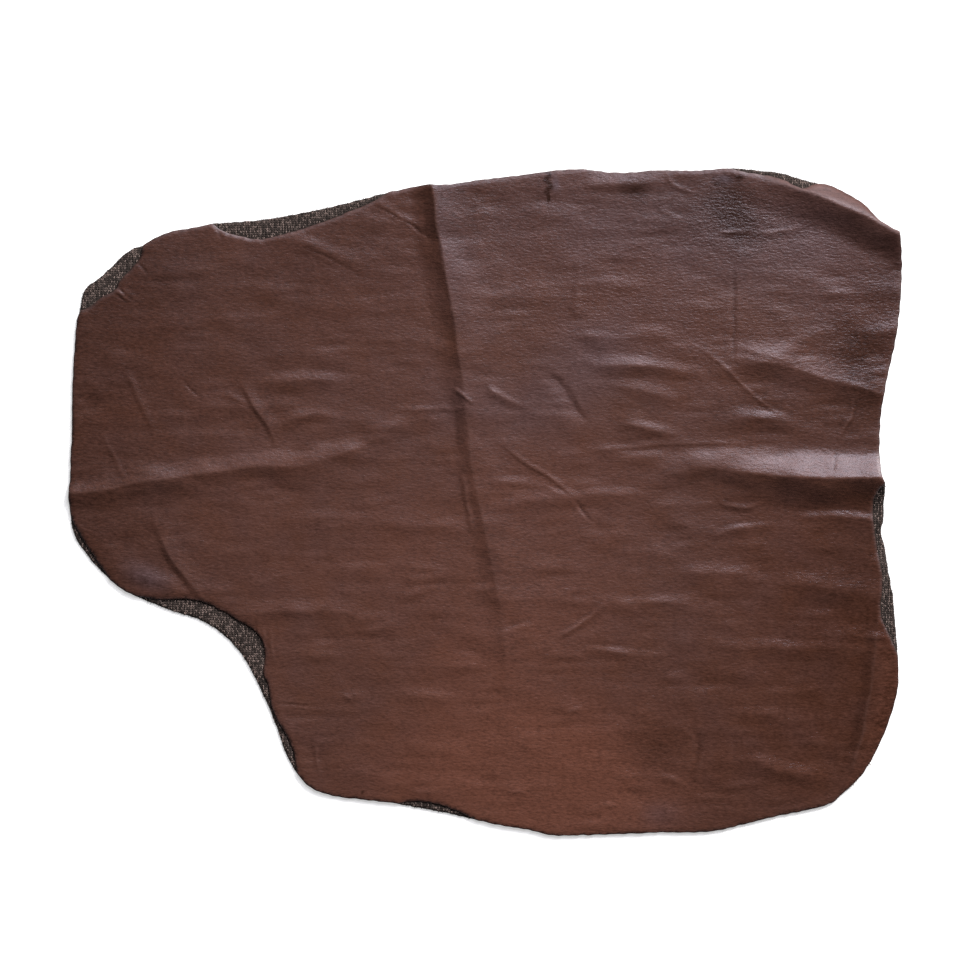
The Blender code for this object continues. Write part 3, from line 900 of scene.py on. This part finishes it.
# %% Add the torn fibres
TORN = ((311, -210), (314, -214), (317, -217), (319, -220), (300, -232), (303, -230))
torn_dice = random.Random(41)
fibres = []
for spot in TORN:
    for _ in range(4):
        near = np.array(spot) + (torn_dice.uniform(-2.0, 2.0), torn_dice.uniform(-2.0, 2.0))
        root = LEATHER_OUTLINE[np.argmin(np.hypot(*(LEATHER_OUTLINE - near).T))]
        way = torn_dice.uniform(-1.3, 0.1)
        step = np.array((math.cos(way), math.sin(way))) * torn_dice.uniform(0.4, 1.1)
        curl = np.array((-step[1], step[0])) * torn_dice.uniform(-0.4, 0.4)
        fibres.append([
            (*(root - step), 0.6),
            (*root, 0.6),
            (*(root + step + curl), 0.3),
            (*(root + 2.0 * step + curl), -0.4),
        ])
fibres = np.array(fibres)
fibres[:, :, 2] += flesh_side(fibres[:, :, 0], fibres[:, :, 1])
fibre_sizes = [[0.12, 0.12, 0.1, 0.07] for _ in fibres]
torn_fibres = strands("torn_fibres", fibres, fibre_sizes, [1.0] * len(fibres))
print("torn fibres:", len(fibres))

# %% [markdown]
# Colour and wear follow the surface. Each mark below is a row like a fold's, with a strength in place of
# the height. The grey marks are mostly a painted sheen and a painted highlight, a cool grey shine where
# the satin faces the light, and partly real grey scuffs and patches. Redness is a lighter red brown. The
# dark marks are a deeper dye and real marks, and partly painted shade on flanks that face away from the
# light. Polish is a smoother and glossier finish, and looseness is where the grain is open and coarse.

# %% List the marks in the finish
# The rows beside the spine, of the upper right and of the middle are painted sheen: a cool grey shine
# where the satin faces the light. The other rows are real grey scuffs and patches, except the painted
# highlight of the lower left.
SHEEN_AND_GREY_PATCHES = (
    Fold("bloom beside the spine", 46, 1.5, 0, (
        (-44, 272, 0.4), (-39, 220, 0.4), (-33, 190, 0.3), (-27, 150, 0.12), (-22, 110, 0),
    )),
    Fold("bloom of the upper right", 75, 75, 0, (
        (40, 235, 0.2), (180, 225, 0.35), (280, 215, 0.35), (330, 190, 0.2),
    )),
    Fold("bloom of the middle", 45, 45, 0, (
        (-20, 80, 0.2), (45, 78, 0.25), (95, 125, 0.35), (130, 135, 0.1),
    )),
    Fold("second patch of the lower edge", 16, 18, 0, (
        (125, -258, 0), (142, -259, 0.25), (165, -258, 0),
    )),
    # Painted highlight: a broad grey shine on the lit flank of the wave of the lower left corner.
    Fold("patch of the lower left", 16, 14, 0, ((-308, -50, 0), (-282, -62, 0.6), (-255, -72, 0))),
    Fold("scuff of the upper edge", 5, 6, 0, ((190, 268, 0.4), (198, 267, 1.2), (207, 264, 0))),
    Fold("patch beside the slit", 5, 5, 0, ((56, 270, 0.2), (58, 262, 0.9), (56, 255, 0))),
)
REDNESS = (
    Fold("light of the lower middle", 80, 100, 0, (
        (-60, -225, 0.5), (20, -225, 1.0), (80, -235, 1.1), (120, -250, 0.7),
    )),
    Fold("light of the middle", 130, 130, 0, (
        (-40, -60, 0.35), (60, -40, 0.4), (10, -140, 0.6), (60, -200, 0.5),
    )),
    Fold("strip outside the curl", 14, 14, 0, (
        (333, -98, 0.2), (335, -150, 0.6), (322, -197, 0.6), (304, -232, 0.3),
    )),
)
# Most rows are a deeper dye and real marks. Three rows are painted shade, as noted at each.
DARK_MARKS_AND_PAINTED_SHADE = (
    Fold("dark of the lower right", 160, 80, 0, (
        (200, -225, 0.12), (290, -215, 0.18), (330, -150, 0.28), (330, -30, 0.3), (330, 60, 0.1),
    )),
    Fold("dark of the upper right", 70, 70, 0, (
        (-15, 250, 0.34), (100, 245, 0.15), (190, 240, 0.38), (280, 230, 0.1), (340, 170, 0.4),
        (335, 90, 0.15),
    )),
    # Painted shade: the strip where the lower right edge curls down, away from the light.
    Fold("dark strip outside the curl", 12, 12, 0, (
        (334, -98, 0.1), (336, -150, 0.2), (324, -197, 0.15), (306, -232, 0),
    )),
    # Painted shade: below the wave, where its lower flank faces away from the light.
    Fold("dark below the wave", 30, 30, 0, (
        (170, 75, 0), (220, 72, 0.25), (290, 68, 0.15), (345, 70, 0),
    )),
    Fold("dark of the right end", 32, 32, 0, (
        (280, 160, 0), (300, 130, 0.4), (312, 95, 0.3), (325, 60, 0),
    )),
    Fold("dark of the left half", 100, 100, 0, (
        (-270, 140, 0.15), (-200, 120, 0.18), (-120, 190, 0.15),
    )),
    Fold("dark of the loose grain", 26, 26, 0, (
        (182, 262, 0), (200, 248, 0.5), (212, 225, 0.45), (222, 200, 0),
    )),
    Fold("first patch of the lower edge", 26, 26, 0, (
        (110, -196, 0), (140, -202, 0.25), (175, -202, 0),
    )),
    Fold("dark of the upper left", 70, 70, 0, ((-260, 215, 0.15), (-160, 210, 0.15), (-60, 250, 0.1))),
    Fold("dark of the left end", 150, 150, 0, ((-344, 180, 0.35), (-344, -20, 0.4), (-300, -110, 0.25))),
    Fold("slit in the upper edge", 1.9, 1.9, 0, (
        (49, 274, 1.6), (53, 270, 1.8), (49, 266, 1.2), (54, 261, 1.8), (50, 256, 1.6),
        (52, 251, 1.2), (50, 244, 0),
    )),
    Fold("smudge of the upper edge", 14, 14, 0, ((108, 263, 0), (124, 259, 0.55), (138, 255, 0))),
    Fold("border of the scuff", 1.8, 1.8, 0, ((188, 268, 0.6), (190, 264, 1.2), (196, 262, 0))),
    Fold("spot beside the scuff", 3.5, 3.5, 0, ((205, 268, 0), (210, 268, 1.3), (213, 268, 0))),
    Fold("pinhole of the lower left", 1.6, 1.6, 0, ((-102, -240, 1.5), (-101, -240, 1.5))),
    # Painted shade: the band on the spine's left flank, which faces away from the light.
    Fold("band left of the pinch", 9, 3, 0, (
        (-27, 84, 0), (-24, 70, 0.3), (-23, 50, 0.3), (-20, 40, 0),
    )),
)
POLISH = (
    Fold("polish of the lower right", 220, 80, 0, (
        (0, -250, 0.4), (60, -250, 0.5), (150, -240, 0.5), (240, -220, 0.9), (310, -190, 1.2),
        (335, -120, 1.2), (335, -40, 0.8), (335, 30, 0.1),
    )),
    Fold("polish of the right end", 60, 60, 0, (
        (215, 215, 0), (290, 170, 0.1), (335, 130, 0.15), (335, 60, 0),
    )),
    Fold("dull roll of the upper right corner", 30, 8, 0, (
        (235, 268, -1.8), (300, 249, -3.4), (350, 222, -3.4),
    )),
)
LOOSENESS = (
    Fold("loose grain of the upper right", 45, 45, 0, (
        (165, 240, 0), (190, 235, 0.75), (260, 225, 0.65), (300, 200, 0),
    )),
    Fold("open grain of the right half", 130, 110, 0, (
        (0, 190, 0.3), (150, 170, 0.45), (330, 150, 0.45),
    )),
)

MARKS = {
    "painted_sheen_and_grey_patches": SHEEN_AND_GREY_PATCHES,
    "redness": REDNESS,
    "dark_marks_and_painted_shade": DARK_MARKS_AND_PAINTED_SHADE,
    "polish": POLISH,
    "looseness": LOOSENESS,
}
print("marks:", {name: len(rows) for name, rows in MARKS.items()})

# %% [markdown]
# The marks are worked out for every point of the leather and kept as attributes, which the material reads.
# The cut edge is darker and duller. A crease has painted shade in its hollows, and its crest is rubbed
# lighter. The hollow is measured on the surface itself: a point that lies lower than the four around it is
# in one.

# %% Paint the marks on the leather's points
HOLLOW_STEP = 1.6
EDGE_STAIN = 0.7
DULL_EDGE = 2.0


def set_attribute(piece, name, values):
    """Keeps one number for each point of a piece, under a name that a material can read."""
    made = piece.data.attributes.new(name, "FLOAT", "POINT")
    made.data.foreach_set("value", values)
    print(name, "from", round(float(values.min()), 2), "to", round(float(values.max()), 2))


places = np.empty(len(leather.data.vertices) * 3)
leather.data.vertices.foreach_get("co", places)
x, y, _ = places.reshape(-1, 3).T / MM
around = sum(
    relief(x + dx, y + dy)
    for dx, dy in ((HOLLOW_STEP, 0.0), (-HOLLOW_STEP, 0.0), (0.0, HOLLOW_STEP), (0.0, -HOLLOW_STEP))
)
set_attribute(leather, "hollow", around / 4.0 - relief(x, y))
inside = edge_distance(np.column_stack((x, y)), LEATHER_OUTLINE)
rim = inside < EDGE_STAIN
dull = DULL_EDGE * np.clip(1.0 - inside / PARED, 0.0, 1.0)
edge_share = {"dark_marks_and_painted_shade": 0.4 * rim, "polish": -dull}
for mark, rows in MARKS.items():
    set_attribute(leather, mark, field(rows, x, y) + edge_share.get(mark, 0.0))

# %% [markdown]
# Materials are node graphs. Written as Python signs, their maths reads like a formula: the class below
# wraps the value on a socket, and each sign adds the Math node it stands for, whichever side the number
# is on.

# %% Wrap a socket
class Wire:
    """The value on one socket of a material's graph."""

    def __init__(self, finish, socket):
        self.finish = finish
        self.socket = socket

    def maths(self, operation, first, second):
        return self.finish.node("ShaderNodeMath", {"operation": operation}, {0: first, 1: second})

    def __add__(self, other):
        return self.maths("ADD", self, other)

    def __sub__(self, other):
        return self.maths("SUBTRACT", self, other)

    def __rsub__(self, other):
        return self.maths("SUBTRACT", other, self)

    def __mul__(self, other):
        return self.maths("MULTIPLY", self, other)

    def __pow__(self, other):
        return self.maths("POWER", self, other)

    def held(self):
        """The same value, kept between 0 and 1."""
        return self.finish.node("ShaderNodeClamp", sockets={"Value": self})

    __radd__ = __add__
    __rmul__ = __mul__


print("signs that add nodes: +, -, * and **")

# %% [markdown]
# Every other node comes from one method, which takes the node's type, its settings and the values or
# links of its sockets. The methods after it are only short names for the nodes that the finishes below
# use most.

# %% Set up a finish
class Finish:
    """A material that is built up node by node."""

    def __init__(self, name):
        self.material = bpy.data.materials.new(name)
        self.material.use_nodes = True
        self.tree = self.material.node_tree
        self.shader = self.tree.nodes["Principled BSDF"]

    def node(self, kind, settings=None, sockets=None, output=0):
        """Adds a node: settings first, then the values or wires of its sockets. Returns one output."""
        made = self.tree.nodes.new(kind)
        for name, value in (settings or {}).items():
            setattr(made, name, value)
        for name, value in (sockets or {}).items():
            self.join(made.inputs[name], value)
        return Wire(self, made.outputs[output])

    def join(self, socket, value):
        """Gives a socket a wire, or a value of its own."""
        if isinstance(value, Wire):
            self.tree.links.new(value.socket, socket)
        else:
            socket.default_value = value

    def set(self, **sockets):
        """Gives sockets of the shader their wires or values, named with _ for a space."""
        for name, value in sockets.items():
            self.join(self.shader.inputs[name.replace("_", " ")], value)

    def painted(self, name):
        """An attribute of the mesh, as a value."""
        return self.node("ShaderNodeAttribute", {"attribute_name": name}, output="Fac")

    def place(self):
        """The point of the piece, in metres."""
        return self.node("ShaderNodeTexCoord", output="Object")

    def stretched(self, place, times):
        """A place multiplied axis by axis, which squeezes a pattern along the larger numbers."""
        return self.node("ShaderNodeVectorMath", {"operation": "MULTIPLY"}, {0: place, 1: times})

    def noise(self, place, scale, detail=2.0, roughness=0.5, distortion=0.0):
        """A cloudy pattern around 0.5."""
        sockets = {
            "Vector": place, "Scale": scale, "Detail": detail, "Roughness": roughness,
            "Distortion": distortion,
        }
        return self.node("ShaderNodeTexNoise", sockets=sockets, output="Fac")

    def between(self, share, first, second):
        """A colour that goes from the first to the second with a share."""
        sockets = {0: share, 6: first, 7: second}
        return self.node("ShaderNodeMix", {"data_type": "RGBA"}, sockets, output=2)

    def bump(self, height, distance):
        """A normal tilted by a height. The distance is how far a height of 1 stands out, in metres."""
        return self.node("ShaderNodeBump", sockets={"Height": height, "Distance": distance})


def rgb(red, green, blue):
    """A colour with full alpha, as sockets take it."""
    return (red, green, blue, 1.0)


print("white, as sockets take it:", rgb(1.0, 1.0, 1.0))

# %% [markdown]
# The leather has a thin satin finish over a dark red brown dye, which is a little uneven. Layers of noise
# give that unevenness: broad clouds, a mottle, and specks drawn out along the hide. The marks then turn it
# greyer, redder or darker in their places; some of the grey is a painted sheen and some of the dark a
# painted shade, and the hollows of creases are painted darker as shade. The grain is fine wrinkles that
# run along the hide, with small pebbles where it is loose. Both are too fine for the mesh, so they are
# bump, with the mesh's own creases below them.

# %% Mix the colour of the grain side
BROWN = rgb(0.083, 0.0302, 0.0175)
MAUVE_BROWN = rgb(0.081, 0.0322, 0.0225)
RED_BROWN = rgb(0.124, 0.045, 0.0275)
GREY_OF_SHEEN_AND_PATCHES = rgb(0.092, 0.057, 0.064)
DARK_BROWN = rgb(0.024, 0.0074, 0.0030)
RUBBED_BROWN = rgb(0.16, 0.085, 0.07)
grain = Finish("brown_leather_grain")
place = grain.place()
clouds = grain.noise(place, 9.0, 3.0)
mottle = grain.noise(place, 85.0, 4.0, 0.6)
specks = grain.noise(grain.stretched(place, (240.0, 620.0, 400.0)), 1.0, 3.0, 0.7)
patches = grain.noise(place, 34.0, 2.0)
colour = grain.between(((patches - 0.5) * 2.5 + 0.5).held(), BROWN, MAUVE_BROWN)
colour = grain.between(grain.painted("redness").held(), colour, RED_BROWN)
# Painted sheen: the grey marks make the colour lighter and cooler where the satin faces the light, besides
# real grey patches.
painted_sheen_and_grey_patches = grain.painted("painted_sheen_and_grey_patches") * (0.4 + 1.2 * clouds)
colour = grain.between(painted_sheen_and_grey_patches.held(), colour, GREY_OF_SHEEN_AND_PATCHES)
# Painted shade: the colour darkens in the hollows of the creases.
painted_crease_shade = (grain.painted("hollow") * 5.0).held() * 0.5
uneven = (clouds - 0.5) * 0.4 + (mottle - 0.5) * 0.3 + (specks - 0.5) * 1.9
# The dark marks are deeper dye and real marks, with painted shade on some flanks.
dark = 0.16 + grain.painted("dark_marks_and_painted_shade") + painted_crease_shade + uneven
colour = grain.between(dark.held(), colour, DARK_BROWN)
rubbed = (grain.painted("hollow") * -6.0).held() * 0.25 + (0.5 - mottle) * 0.2
colour = grain.between(rubbed.held(), colour, RUBBED_BROWN)
print("nodes in the colour of the grain side:", len(grain.tree.nodes))

# %% [markdown]
# Leather shines most where it is smooth. So the roughness follows the marks, and the height of the grain
# is larger where it is loose. The light that a satin finish throws back is a little cooler than the dye.

# %% Roughen the grain side
GRAIN_DEPTH = 0.0003
loose = grain.painted("looseness")
polish = grain.painted("polish")
fine = grain.noise(grain.stretched(place, (230.0, 560.0, 300.0)), 1.0, 3.0, 0.6, 0.4)
coarse = grain.noise(grain.stretched(place, (60.0, 110.0, 80.0)), 1.0, 2.0, 0.5, 0.5)
pebbles = grain.node(
    "ShaderNodeTexVoronoi",
    {"feature": "SMOOTH_F1"},
    {"Vector": place, "Scale": 680.0},
    output="Distance",
)
grain_height = fine * (0.8 + loose * 1.3) + coarse * 0.8 + pebbles * (0.1 + 0.3 * loose)
worn = painted_sheen_and_grey_patches * 0.06 - grain.painted("dark_marks_and_painted_shade").held() * 0.10 - polish * 0.13
grain.set(
    Base_Color=colour,
    Roughness=0.38 + worn + (clouds - 0.5) * 0.1,
    Normal=grain.bump(grain_height, GRAIN_DEPTH),
    Specular_IOR_Level=0.62,
    Specular_Tint=rgb(0.94, 0.90, 1.0),
)
leather.data.materials.append(grain.material)
print("finish:", grain.material.name)

# %% [markdown]
# The cut rim and the flesh side are raw: a paler, matt brown. Fine noise with a bump makes it look
# fibrous.

# %% Finish the raw edge
raw = Finish("raw_leather_edge")
fibre = raw.noise(raw.stretched(raw.place(), (1.0, 1.0, 0.4)), 1500.0, 3.0, 0.7)
raw.set(
    Base_Color=raw.between(fibre, rgb(0.045, 0.020, 0.014), rgb(0.17, 0.095, 0.075)),
    Roughness=0.9,
    Normal=raw.bump(fibre, 0.0002),
)
leather.data.materials.append(raw.material)
print("finish:", raw.material.name)

# %% [markdown]
# The cloth between the stitches is the same yarn in shadow: nearly black, with uneven ribs as bump.

# %% Finish the cloth
under = Finish("charcoal_knit_ground")
lines = under.noise(under.stretched(under.place(), (430.0, 600.0, 300.0)), 1.0, 2.0, 0.6)
under.set(
    Base_Color=under.between(lines, rgb(0.014, 0.0105, 0.0092), rgb(0.055, 0.042, 0.037)),
    Roughness=0.92,
    Specular_IOR_Level=0.15,
    Normal=under.bump(lines, 0.0004),
)
for _ in range(2):
    cloth.data.materials.append(under.material)
print("finish:", under.material.name, "on the faces and on the rim")

# %% [markdown]
# The yarn is charcoal, and each strand's own shade turns it towards a pale fleck. Very fine noise breaks
# up the shade like the hairs of the yarn. The torn fibres of the leather are a paler brown than its
# grain.

# %% Finish the yarn and the torn fibres
yarn = Finish("charcoal_flecked_yarn")
hairs = yarn.noise(yarn.place(), 2600.0, 3.0, 0.7)
shade = (yarn.painted("yarn_shade") + (hairs - 0.5) * 0.5).held()
yarn.set(
    Base_Color=yarn.between(shade ** 2.0, rgb(0.027, 0.020, 0.0175), rgb(0.29, 0.215, 0.190)),
    Roughness=0.9,
    Specular_IOR_Level=0.15,
    Normal=yarn.bump(hairs, 0.00015),
)
knit.data.materials.append(yarn.material)
yarn_ends.data.materials.append(yarn.material)

torn = Finish("torn_leather_fibre")
torn_hairs = torn.noise(torn.place(), 1800.0, 2.0)
torn.set(
    Base_Color=torn.between(torn_hairs, rgb(0.05, 0.022, 0.016), rgb(0.16, 0.10, 0.08)),
    Roughness=0.85,
)
torn_fibres.data.materials.append(torn.material)
print("finishes:", yarn.material.name, "and", torn.material.name)

# %% [markdown]
# The table is plain and pale, and glows a little from within as a light table does, so hardly any shadow
# lies round the hide. It isn't part of the hide.

# %% Lay the table
TABLE_SIZE = 8.0
bpy.ops.mesh.primitive_plane_add(size=TABLE_SIZE, location=(0.0, 0.0, -0.0003))
floor = bpy.context.object
floor.name = "table_top"
pale = Finish("pale_table")
pale.set(
    Base_Color=pale.between(pale.noise(pale.place(), 3.0), rgb(0.88, 0.88, 0.88), rgb(0.90, 0.90, 0.90)),
    Roughness=0.95,
    Specular_IOR_Level=0.1,
    Emission_Color=rgb(1.0, 1.0, 1.0),
    Emission_Strength=0.5,
)
floor.data.materials.append(pale.material)
print("table:", TABLE_SIZE, "m across")

# %% [markdown]
# Folds this low show only in light that grazes them. A low soft light, like a window's, comes from the
# upper right, so the flanks that face it shine and the others go dark. A soft lamp stands higher, beyond
# the upper edge, and puts a cool sheen on the crests. Very little light comes from all sides.

# %% Light the hide
LAMP_SIZE = 1.1
WINDOW_SPREAD = 26.0
ROOM_LIGHT = 0.05


def light(name, kind, bearing, rise, distance, energy, colour):
    """A light at a bearing and a rise over the table, in degrees, turned to its middle."""
    flat = math.cos(math.radians(rise))
    east = flat * math.cos(math.radians(bearing))
    north = flat * math.sin(math.radians(bearing))
    way = Vector((east, north, math.sin(math.radians(rise))))
    made = bpy.data.lights.new(name, kind)
    made.energy = energy
    made.color = colour
    lamp = bpy.data.objects.new(name, made)
    lamp.location = way * distance
    lamp.rotation_euler = (-way).to_track_quat("-Z", "Y").to_euler()
    bpy.context.scene.collection.objects.link(lamp)
    print(name, "at", [round(side, 2) for side in lamp.location])
    return made


light("upper lamp", "AREA", 72.0, 49.0, 3.0, 42.0, (0.94, 0.93, 1.0)).size = LAMP_SIZE
light("window", "SUN", 55.0, 21.0, 5.0, 7.6, (1.0, 0.98, 0.97)).angle = math.radians(WINDOW_SPREAD)
world = bpy.data.worlds.new("soft_room")
bpy.context.scene.world = world
world.use_nodes = True
room = world.node_tree.nodes["Background"]
room.inputs["Color"].default_value = rgb(1.0, 1.0, 1.0)
room.inputs["Strength"].default_value = ROOM_LIGHT
bpy.context.scene.view_settings.view_transform = "Standard"
bpy.context.scene.view_settings.look = "None"

# %% [markdown]
# Last, each piece is tied to the hide's one body, and the flat area inside each layer's cut edge is
# printed. A sheet also says how large it was cut, for the tools check that its folds haven't stretched
# it.


def plan_area(edge):
    """Area inside a closed edge, in square metres."""
    ahead = np.roll(edge, -1, axis=0)
    return abs(np.sum(edge[:, 0] * ahead[:, 1] - ahead[:, 0] * edge[:, 1])) / 2.0 * MM * MM


for piece, slot in (
    (leather, "brown_leather"),
    (cloth, "charcoal_knit"),
    (knit, "charcoal_knit"),
    (yarn_ends, "charcoal_knit"),
    (torn_fibres, "brown_leather"),
):
    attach(piece, "root")
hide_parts("leather_skin")
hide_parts("backing_cloth")
print("flat areas:", round(plan_area(LEATHER_OUTLINE), 4), round(plan_area(CLOTH_OUTLINE), 4))
